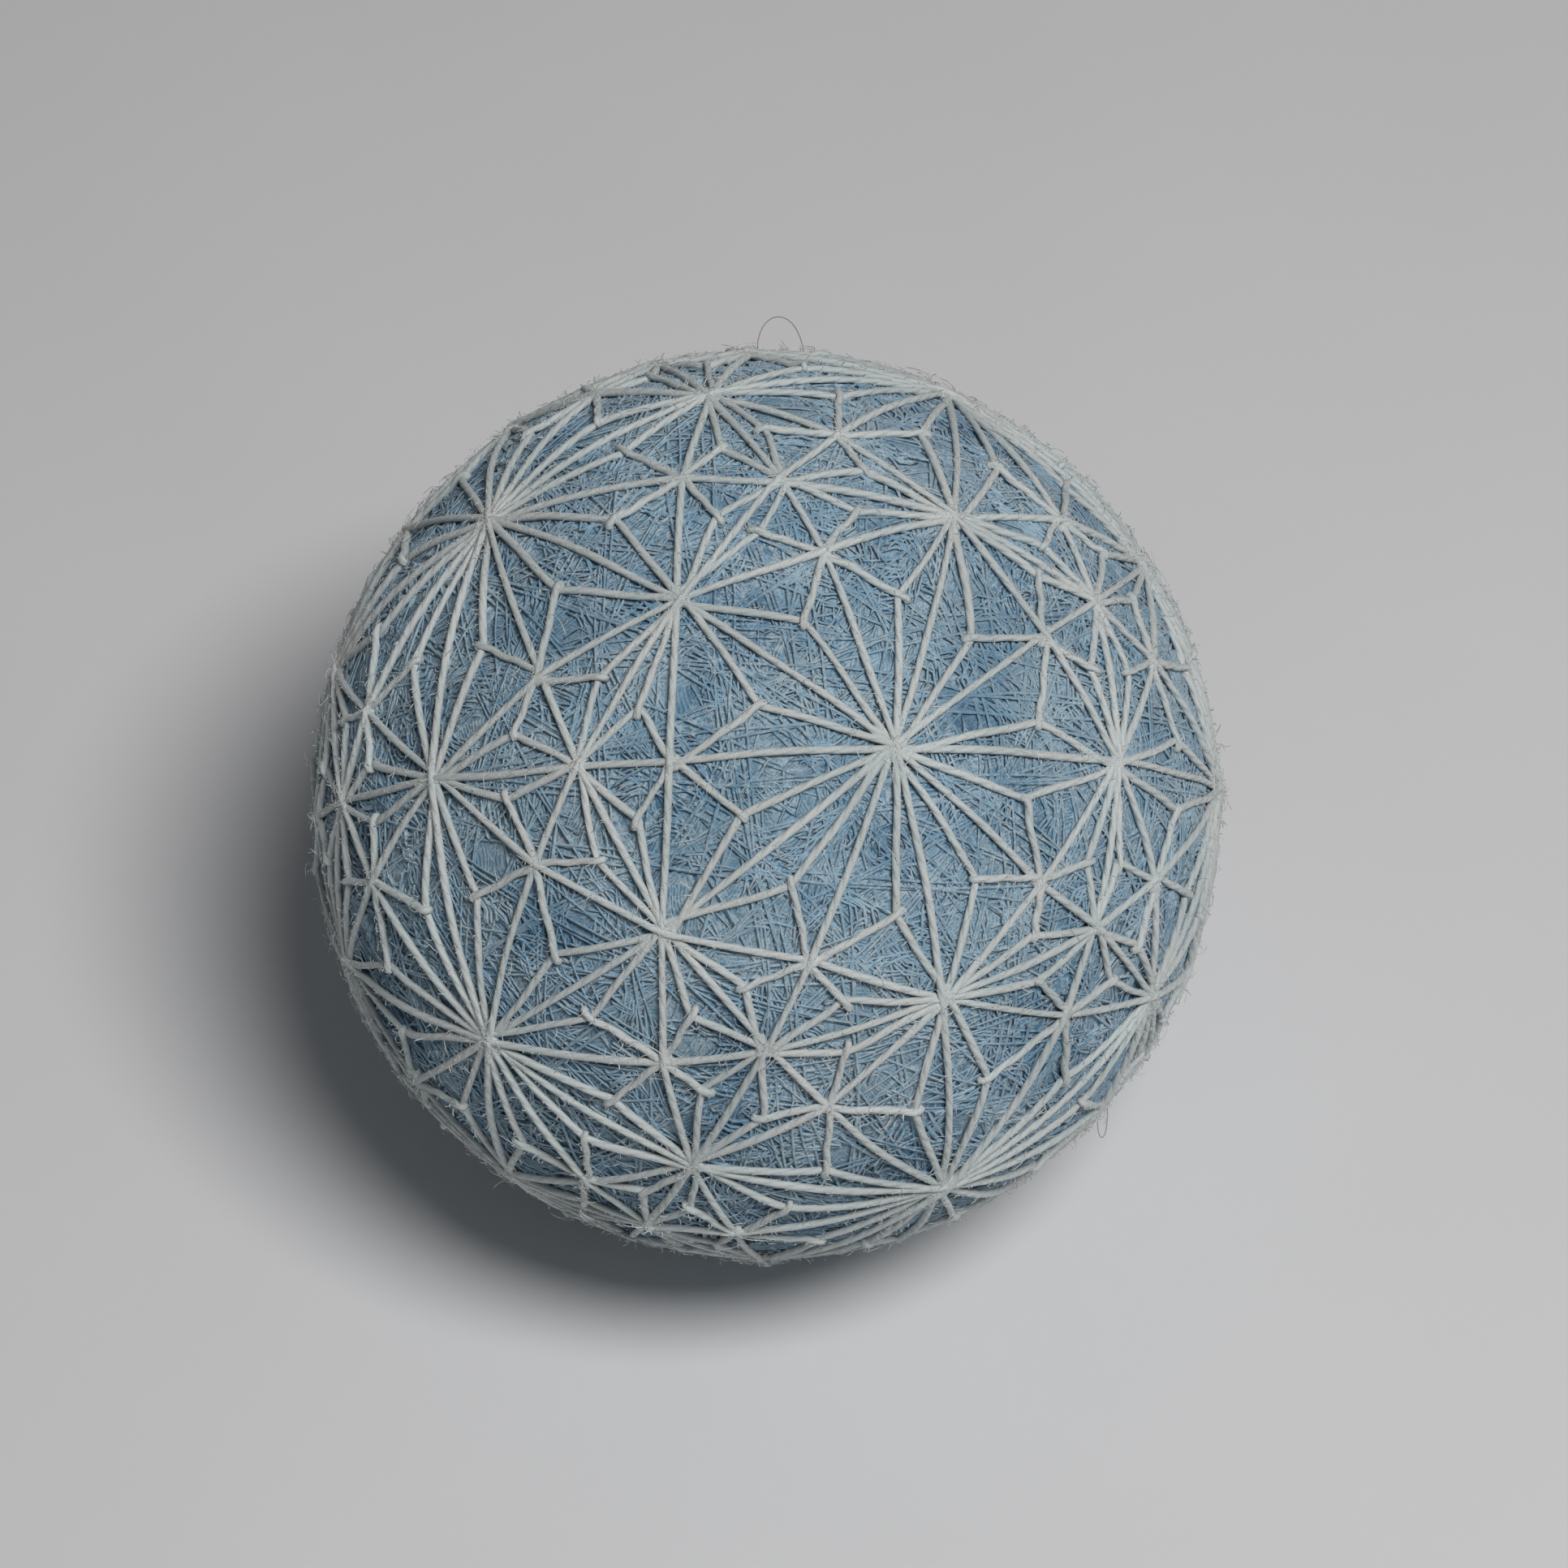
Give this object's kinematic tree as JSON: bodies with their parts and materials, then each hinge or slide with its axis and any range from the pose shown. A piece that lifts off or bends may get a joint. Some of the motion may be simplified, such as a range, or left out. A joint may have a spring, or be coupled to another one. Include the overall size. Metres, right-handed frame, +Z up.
{
  "type": "temari ball",
  "caption": "Ball wound from fine blue thread, with an off-white net of stars stitched over it in the traditional hemp-leaf pattern.",
  "frame": {"origin": "middle of the small flat spot that the ball rests on", "axes": "+Z up from the flat spot through the ball's centre; -Y faces the viewer, +X to the viewer's right"},
  "size_m": [0.081, 0.0808, 0.08],
  "materials": {
    "wound_thread": "matt, slightly fuzzy steel-blue thread in many crossing layers",
    "stitched_thread": "matt, soft off-white twisted thread"
  },
  "bodies": {
    "root": {"wound_ball": "wound_thread"}
  },
  "joints": []
}
